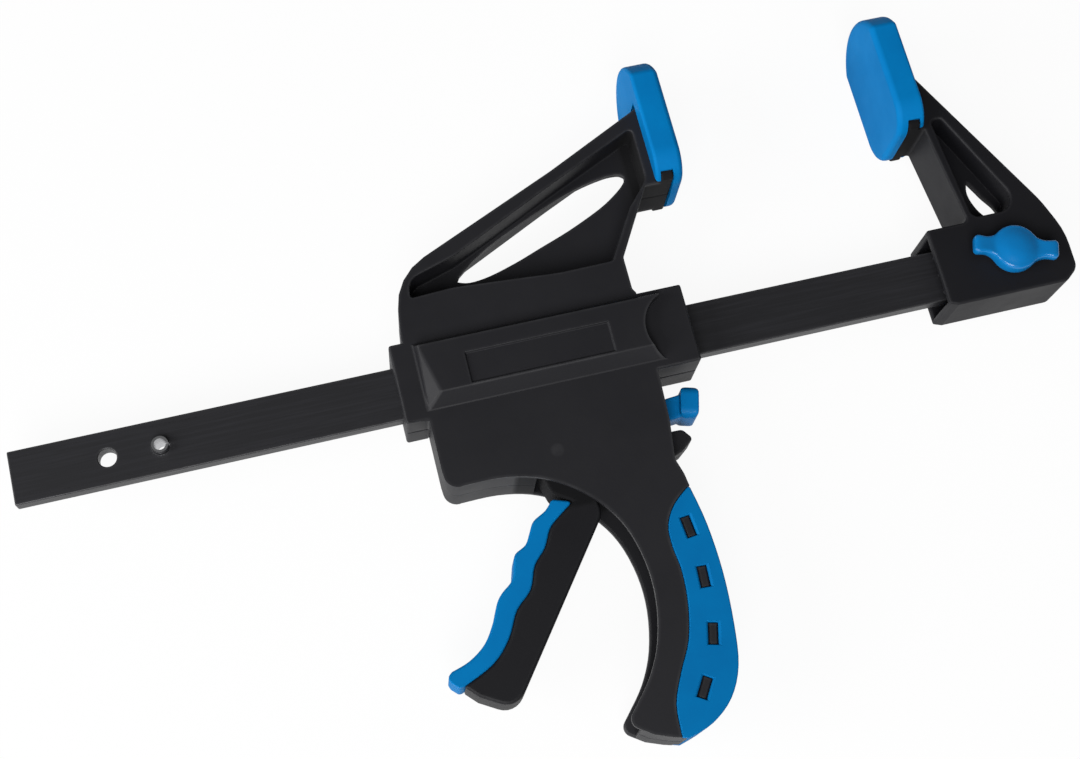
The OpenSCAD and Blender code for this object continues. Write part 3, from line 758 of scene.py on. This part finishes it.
def gloss_blue_material(name="gloss blue plastic", smooth_at=0.17, specular=0.3, coat=0.24):
    """Blue plastic with faint flow marks; smooth_at is its least roughness."""
    if name in bpy.data.materials:
        return bpy.data.materials[name]
    material, tree, shader = new_material(name)
    wear = add_group(tree, handling_group(), Reach=0.0010, Spread=0.6)
    deep = shaded(colours().gloss_blue, 0.85)
    colour = mix_colour(tree, wear.outputs["Smear"], tuple(colours().gloss_blue), deep)
    tree.links.new(colour, shader.inputs["Base Color"])
    rough = ramp(tree, wear.outputs["Smear"], 0.0, 1.0, smooth_at, smooth_at + 0.1)
    tree.links.new(rough, shader.inputs["Roughness"])
    shader.inputs["Specular IOR Level"].default_value = specular
    shader.inputs["IOR"].default_value = 1.52
    shader.inputs["Coat Roughness"].default_value = 0.08
    shader.inputs["Coat Weight"].default_value = coat
    place_in = tree.nodes.new("ShaderNodeTexCoord").outputs["Object"]
    bump(tree, shader, noise(tree, place_in, 160.0, detail=2.0), 0.00012, 0.35)
    return material


def phosphate_material():
    """Black phosphated bar: drawn streaks along its length and a fine crystal grain."""
    name = "black phosphate"
    if name in bpy.data.materials:
        return bpy.data.materials[name]
    material, tree, shader = new_material(name)
    place_in = tree.nodes.new("ShaderNodeTexCoord").outputs["Object"]
    stretch = tree.nodes.new("ShaderNodeMapping")
    stretch.inputs["Scale"].default_value = (0.035, 1.0, 1.0)
    tree.links.new(place_in, stretch.inputs["Vector"])
    streaks = noise(tree, stretch.outputs["Vector"], 900.0, detail=4.0, roughness=0.65)
    wear = add_group(tree, handling_group(), Reach=0.0008, Spread=0.5)
    grain = add_group(tree, grain_group(), Fineness=4200.0)
    base = tuple(colours().phosphate)
    streaked = mix_colour(tree, ramp(tree, streaks, 0.42, 0.72), base, shaded(base, 1.7))
    worn = mix_colour(tree, wear.outputs["Edge"], streaked, (0.085, 0.085, 0.088))
    tree.links.new(worn, shader.inputs["Base Color"])
    tree.links.new(ramp(tree, streaks, 0.3, 0.7, 0.50, 0.40), shader.inputs["Roughness"])
    shader.inputs["Metallic"].default_value = 0.25
    both = math_node(tree, "ADD", math_node(tree, "MULTIPLY", streaks, 0.6),
                     math_node(tree, "MULTIPLY", grain.outputs["Height"], 0.5))
    bump(tree, shader, both, 0.00005, 0.5)
    return material


def zinc_material():
    """Bright zinc plate with a light brushed haze."""
    name = "zinc plate"
    if name in bpy.data.materials:
        return bpy.data.materials[name]
    material, tree, shader = new_material(name)
    wear = add_group(tree, handling_group(), Reach=0.0006, Spread=0.6)
    grain = add_group(tree, grain_group(), Fineness=5200.0)
    base = tuple(colours().zinc)
    colour = mix_colour(tree, wear.outputs["Smear"], base, shaded(base, 0.74))
    tree.links.new(colour, shader.inputs["Base Color"])
    shader.inputs["Metallic"].default_value = 1.0
    rough = ramp(tree, wear.outputs["Smear"], 0.0, 1.0, 0.24, 0.40)
    tree.links.new(rough, shader.inputs["Roughness"])
    bump(tree, shader, grain.outputs["Height"], 0.00002, 0.4)
    return material


# ---- Pieces ----

class CLAMP_OT_bar(bpy.types.Operator):
    """Adds the phosphated steel bar with its eased edges."""
    bl_idname = "clamp.bar"
    bl_label = "Bar"

    def execute(self, context):
        piece = copy_of_node("bar", "steel_bar")
        round_edges(piece, sizes().bar_edge)
        place(piece, "bar", phosphate_material())
        return {"FINISHED"}


class CLAMP_OT_shells(bpy.types.Operator):
    """Adds the two moulded shells of the head, with their arm and handle."""
    bl_idname = "clamp.shells"
    bl_label = "Head shells"

    def execute(self, context):
        for node in ("housing_front", "housing_rear"):
            piece = copy_of_node(node, node + "_moulding")
            round_edges(piece, sizes().moulded_edge)
            place(piece, node, nylon_material())
        return {"FINISHED"}


class CLAMP_OT_grip(bpy.types.Operator):
    """Adds the soft insert that wraps the back of the handle."""
    bl_idname = "clamp.grip"
    bl_label = "Handle grip"

    def execute(self, context):
        piece = copy_of_node("grip_insert", "handle_soft_grip")
        round_edges(piece, sizes().soft_edge, segments=4)
        rubber = soft_blue_material("soft blue handle rubber", 0.8)
        place(piece, "grip_insert", rubber)
        return {"FINISHED"}


class CLAMP_OT_trigger(bpy.types.Operator):
    """Adds the trigger's lever and its soft finger grip."""
    bl_idname = "clamp.trigger"
    bl_label = "Trigger"

    def execute(self, context):
        lever = copy_of_node("trigger_lever", "trigger_moulding")
        round_edges(lever, sizes().moulded_edge * 1.3, segments=4)
        # A darker, duller copy of the same nylon: painted shade on the lever, whose top lies in
        # the shadow of the slot.
        nylon = nylon_material("black lever nylon", 0.7, 0.20)
        place(lever, "trigger_lever", nylon)
        grip = copy_of_node("trigger_grip", "trigger_soft_grip")
        round_edges(grip, sizes().soft_edge, segments=4)
        rubber = soft_blue_material("soft blue trigger rubber", 0.87)
        place(grip, "trigger_grip", rubber)
        return {"FINISHED"}


class CLAMP_OT_release(bpy.types.Operator):
    """Adds the thumb button on the brake plate."""
    bl_idname = "clamp.release"
    bl_label = "Release button"

    def execute(self, context):
        piece = copy_of_node("release_button", "thumb_release")
        activate(piece)
        remesh = piece.modifiers.new("even skin", "REMESH")
        remesh.mode = "VOXEL"
        remesh.voxel_size = sizes().button_skin
        soften = piece.modifiers.new("soft edges", "SMOOTH")
        soften.factor = 0.5
        soften.iterations = 8
        for modifier in (remesh, soften):
            bpy.ops.object.modifier_apply(modifier=modifier.name)
        bpy.ops.object.shade_smooth()
        plastic = gloss_blue_material("gloss blue button", 0.38, 0.08, 0.03)
        place(piece, "release_button", plastic)
        return {"FINISHED"}


def arch_top(piece, low, high, rise):
    """Cuts the block's top to a round arch, as wide as the block."""
    half = high.z
    radius = (half * half + rise * rise) / (2 * rise)
    centre = Vector(((low.x + high.x) / 2, high.y - radius, 0))
    beyond = Vector((0.002, 0.002, 0.002))
    waste = add_block("waste", Vector((low.x, centre.y, low.z)) - beyond, high + beyond)
    bpy.ops.object.select_all(action="DESELECT")
    bpy.ops.mesh.primitive_cylinder_add(
        vertices=144, radius=radius, depth=0.04, location=centre,
        rotation=(0, math.radians(90), 0))
    round_bar = bpy.context.object
    apply_place(round_bar)
    cut(waste, round_bar)
    cut(piece, waste)


def bevel_edges(piece, test, radius, segments):
    """Rounds the edges whose two ends pass the test."""
    select_edges(piece, test)
    bpy.ops.mesh.bevel(offset=radius, segments=segments, affect="EDGES", clamp_overlap=False)
    object_mode()


def pad_block(name, box, face_x, back_x):
    """A pad's outer form: a block with round lower corners, an arched top and soft rims."""
    size = sizes()
    low, high = box
    piece = add_block(name, low, high)
    length = high.x - low.x
    middle = (low.y + high.y) / 2
    side_top = high.y - size.pad_arch

    def runs_through(a, b):
        """Whether an edge leads from the pad's face to its back."""
        return abs(a.x - b.x) > 0.9 * length

    bevel_edges(piece, lambda a, b: runs_through(a, b) and a.y < middle, size.pad_corner, 12)
    arch_top(piece, low, high, size.pad_arch)
    bevel_edges(piece, lambda a, b: runs_through(a, b) and abs(a.y - side_top) < NEAR_ROUND,
                size.pad_top_corner * ARCH_END_SHARE, 3)
    bevel_edges(piece, lambda a, b: abs(a.x - face_x) < NEAR and abs(b.x - face_x) < NEAR,
                size.pad_edge, 5)
    bevel_edges(piece, lambda a, b: abs(a.x - back_x) < NEAR and abs(b.x - back_x) < NEAR,
                size.pad_edge * BACK_RIM_SHARE, 3)
    return piece


def model_pad(name, box, face_at_high_x):
    """A pad: its outer form, with the room for the jaw's foot and the way for its arm cut out."""
    size = sizes()
    low, high = box
    face_x, back_x = (high.x, low.x) if face_at_high_x else (low.x, high.x)
    piece = pad_block(name, box, face_x, back_x)
    inward = -1 if face_at_high_x else 1

    def slot_block(depth_from, depth_to, y_from, y_to, half_z):
        """A cutter between two depths behind the pad's face."""
        ends = sorted((face_x + inward * depth_from, face_x + inward * depth_to))
        return add_block("cutter", Vector((ends[0], y_from, -half_z)),
                         Vector((ends[1], y_to, half_z)))

    room_end = size.pad_face + size.pad_foot_room
    foot_half = high.z - size.pad_wall
    top = high.y - size.pad_crown
    bottom = low.y - BEYOND
    foot_room = slot_block(size.pad_face, room_end, bottom, top - size.pad_wall, foot_half)
    bevel_edges(foot_room, lambda a, b: a.y > low.y and b.y > low.y and abs(a.x - b.x) > NEAR,
                FOOT_CORNER, 8)
    cut(piece, foot_room)
    cut(piece, slot_block(size.pad_face, room_end, bottom, low.y + FOOT_OPENING, high.z + BEYOND))
    cut(piece, slot_block(room_end - OVERLAP, high.x - low.x + BEYOND, bottom, top - ARM_DROP,
                          size.arm_half))
    round_edges(piece, PAD_RIM, segments=2, angle=50)
    return piece


class CLAMP_OT_pads(bpy.types.Operator):
    """Adds the two soft pads on the feet of the jaws."""
    bl_idname = "clamp.pads"
    bl_label = "Pads"

    def execute(self, context):
        moving = model_pad("moving_soft_pad", MOVING_PAD, True)
        place(moving, "moving_pad", soft_blue_material())
        fixed = model_pad("fixed_soft_pad", FIXED_PAD, False)
        place(fixed, "fixed_pad", soft_blue_material())
        return {"FINISHED"}


class CLAMP_OT_jaw(bpy.types.Operator):
    """Adds the fixed jaw's moulding."""
    bl_idname = "clamp.jaw"
    bl_label = "Fixed jaw"

    def execute(self, context):
        piece = copy_of_node("fixed_jaw", "fixed_jaw_moulding")
        round_edges(piece, sizes().moulded_edge)
        # A darker, duller copy of the same nylon: painted shade on the jaw.
        nylon = nylon_material("black jaw nylon", 0.8, 0.20)
        place(piece, "fixed_jaw", nylon)
        return {"FINISHED"}


class CLAMP_OT_knob(bpy.types.Operator):
    """Adds the glossy wing knob: a turned hub with two drawn-out wings."""
    bl_idname = "clamp.knob"
    bl_label = "Wing knob"

    def execute(self, context):
        low, high = KNOB
        axis = (low + high) / 2
        height = high.z - low.z
        radius = sizes().hub_radius
        bpy.ops.object.select_all(action="DESELECT")
        bpy.ops.mesh.primitive_cylinder_add(
            vertices=sizes().knob_sides, radius=radius, depth=HUB_SHARE * height,
            location=(0, 0, HUB_SHARE / 2 * height), end_fill_type="NGON")
        piece = bpy.context.object
        piece.name = piece.data.name = "wing_knob_moulding"
        apply_place(piece)
        self.draw_wings(piece, radius, height, self.reach())
        self.dome(piece, height)
        object_mode()
        subdivide_smooth(piece, 2)
        piece.rotation_euler.z = sizes().knob_turn
        piece.location = (axis.x, axis.y, low.z)
        apply_place(piece)
        place(piece, "wing_knob", gloss_blue_material())
        return {"FINISHED"}

    def reach(self):
        """Half span of the wings, from the box of the knob."""
        low, high = KNOB
        return (high.x - low.x) / 2 / math.cos(sizes().knob_turn) - 0.0002

    def draw_wings(self, piece, radius, height, reach):
        """Pulls the hub's side faces out along X, in steps, to a rounded tip."""
        for side in (1, -1):
            select_faces(piece, lambda c, n: side * n.x > 0.9)
            edge = radius
            for share, across, upright, rise in WING_STEPS:
                out = share * (reach - radius)
                edge += out
                bpy.ops.mesh.extrude_region_move(
                    TRANSFORM_OT_translate={"value": (side * out, 0, rise * height)})
                centre = (side * edge, 0, 0.5 * height)
                bpy.ops.transform.resize(
                    value=(WING_PRESS, across, upright), center_override=centre)
            object_mode()

    def dome(self, piece, height):
        """Raises the hub's top in steps, and draws its foot in."""
        select_faces(piece, lambda c, n: n.z > 0.99 and c.xy.length < 0.001)
        for inset, rise in DOME_STEPS:
            bpy.ops.mesh.inset(thickness=inset)
            bpy.ops.transform.translate(value=(0, 0, rise * height))
        object_mode()
        select_faces(piece, lambda c, n: n.z < -0.99 and c.xy.length < 0.001)
        bpy.ops.mesh.inset(thickness=0.0005)
        bpy.ops.mesh.inset(thickness=0.0012)


class CLAMP_OT_springs(bpy.types.Operator):
    """Adds the two hidden springs."""
    bl_idname = "clamp.springs"
    bl_label = "Springs"

    def execute(self, context):
        for node, name, joint, seat_x, kept in SPRINGS:
            piece = copy_of_node(node, name)
            smooth(piece)
            place(piece, node, zinc_material())
            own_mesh(piece)
        return {"FINISHED"}


class CLAMP_OT_hardware(bpy.types.Operator):
    """Gives the pins, screws, plates, washer and nut their plated finish."""
    bl_idname = "clamp.hardware"
    bl_label = "Hardware"

    def execute(self, context):
        for node in PLATED_NODES:
            dress(node, zinc_material())
        return {"FINISHED"}


# ---- Stage ----

def lit_background(tree, surface, share):
    """Mixes a share of plain white into a surface, seen by camera, mirror and glass rays only."""
    path = tree.nodes.new("ShaderNodeLightPath")
    glow = tree.nodes.new("ShaderNodeEmission")
    glow.inputs["Color"].default_value = (1.0, 1.0, 1.0, 1.0)
    mirrored = math_node(tree, "MAXIMUM", path.outputs["Is Glossy Ray"],
                         path.outputs["Is Transmission Ray"])
    seen = math_node(tree, "MAXIMUM", path.outputs["Is Camera Ray"], mirrored)
    mix = tree.nodes.new("ShaderNodeMixShader")
    tree.links.new(math_node(tree, "MULTIPLY", seen, share), mix.inputs["Fac"])
    tree.links.new(surface, mix.inputs[1])
    tree.links.new(glow.outputs["Emission"], mix.inputs[2])
    return mix.outputs["Shader"]


def add_light(name, place_at, target, power):
    """A square soft box that faces the target."""
    data = bpy.data.lights.new(name, "AREA")
    data.shape = "SQUARE"
    data.size = LIGHT_SIZE
    data.energy = power
    light = bpy.data.objects.new(name, data)
    light.location = place_at
    light.rotation_mode = "QUATERNION"
    light.rotation_quaternion = (Vector(target) - Vector(place_at)).to_track_quat("-Z", "Y")
    bpy.context.scene.collection.objects.link(light)


class CLAMP_OT_stage(bpy.types.Operator):
    """Adds the pale floor, the soft lights and the camera."""
    bl_idname = "clamp.stage"
    bl_label = "Stage"

    def execute(self, context):
        self.floor()
        self.world(context.scene)
        centre = (CAD_BOX[0] + CAD_BOX[1]) / 2
        for name, place_at, power in LIGHTS:
            add_light(name, place_at, centre, power)
        self.camera(context.scene)
        context.scene.view_settings.view_transform = "Standard"
        return {"FINISHED"}

    def floor(self):
        """The pale floor, which the camera sees nearly white."""
        bpy.ops.object.select_all(action="DESELECT")
        bpy.ops.mesh.primitive_plane_add(size=FLOOR_SIZE, location=(0.15, 0, FLOOR_TOP))
        floor = bpy.context.object
        floor.name = "floor"
        apply_place(floor)
        material, tree, shader = new_material("pale floor")
        shader.inputs["Base Color"].default_value = (*colours().floor, 1.0)
        shader.inputs["Roughness"].default_value = 0.9
        output = next(n for n in tree.nodes if n.type == "OUTPUT_MATERIAL")
        lit = lit_background(tree, shader.outputs["BSDF"], FLOOR_WHITE)
        tree.links.new(lit, output.inputs["Surface"])
        floor.data.materials.append(material)

    def world(self, scene):
        """An even room light, with white behind all that the camera sees."""
        world = bpy.data.worlds.new("soft room")
        world.use_nodes = True
        tree = world.node_tree
        tree.nodes.clear()
        path = tree.nodes.new("ShaderNodeLightPath")
        room = tree.nodes.new("ShaderNodeBackground")
        room.inputs["Color"].default_value = (1.0, 1.0, 1.0, 1.0)
        room.inputs["Strength"].default_value = ROOM_LIGHT
        white = tree.nodes.new("ShaderNodeBackground")
        white.inputs["Color"].default_value = (1.0, 1.0, 1.0, 1.0)
        mix = tree.nodes.new("ShaderNodeMixShader")
        output = tree.nodes.new("ShaderNodeOutputWorld")
        tree.links.new(path.outputs["Is Camera Ray"], mix.inputs["Fac"])
        tree.links.new(room.outputs["Background"], mix.inputs[1])
        tree.links.new(white.outputs["Background"], mix.inputs[2])
        tree.links.new(mix.outputs["Shader"], output.inputs["Surface"])
        scene.world = world

    def camera(self, scene):
        """The photograph's camera."""
        data = bpy.data.cameras.new("camera")
        data.lens = CAMERA_LENS
        data.sensor_width = CAMERA_SENSOR
        data.clip_start = 0.01
        camera = bpy.data.objects.new("camera", data)
        back = CAMERA_RIGHT.cross(CAMERA_UP)
        turn = Matrix((CAMERA_RIGHT, CAMERA_UP, back)).transposed().to_4x4()
        camera.matrix_world = Matrix.Translation(CAMERA_PLACE) @ turn
        scene.collection.objects.link(camera)
        scene.camera = camera


class CLAMP_PT_panel(bpy.types.Panel):
    """Lists the clamp's pieces and its settings."""
    bl_label = "Bar Clamp"
    bl_idname = "CLAMP_PT_panel"
    bl_space_type = "VIEW_3D"
    bl_region_type = "UI"
    bl_category = "Bar Clamp"

    def draw(self, context):
        layout = self.layout
        for operator in OPERATORS:
            layout.operator(operator.bl_idname)
        for settings in (context.scene.clamp_sizes, context.scene.clamp_colours):
            for name in settings.__annotations__:
                layout.prop(settings, name)


OPERATORS = (
    CLAMP_OT_stage,
    CLAMP_OT_bar,
    CLAMP_OT_shells,
    CLAMP_OT_grip,
    CLAMP_OT_trigger,
    CLAMP_OT_release,
    CLAMP_OT_pads,
    CLAMP_OT_jaw,
    CLAMP_OT_knob,
    CLAMP_OT_springs,
    CLAMP_OT_hardware,
)
CLASSES = (ClampSizes, ClampColours, *OPERATORS, CLAMP_PT_panel)


def register():
    for cls in CLASSES:
        bpy.utils.register_class(cls)
    bpy.types.Scene.clamp_sizes = PointerProperty(type=ClampSizes)
    bpy.types.Scene.clamp_colours = PointerProperty(type=ClampColours)


def unregister():
    del bpy.types.Scene.clamp_colours
    del bpy.types.Scene.clamp_sizes
    for cls in reversed(CLASSES):
        bpy.utils.unregister_class(cls)


def main():
    """Builds the whole scene."""
    register()
    bpy.ops.clamp.stage()
    bpy.ops.clamp.bar()
    bpy.ops.clamp.shells()
    bpy.ops.clamp.grip()
    bpy.ops.clamp.trigger()
    bpy.ops.clamp.release()
    bpy.ops.clamp.pads()
    bpy.ops.clamp.jaw()
    bpy.ops.clamp.knob()
    bpy.ops.clamp.springs()
    bpy.ops.clamp.hardware()


if __name__ == "__main__":
    main()
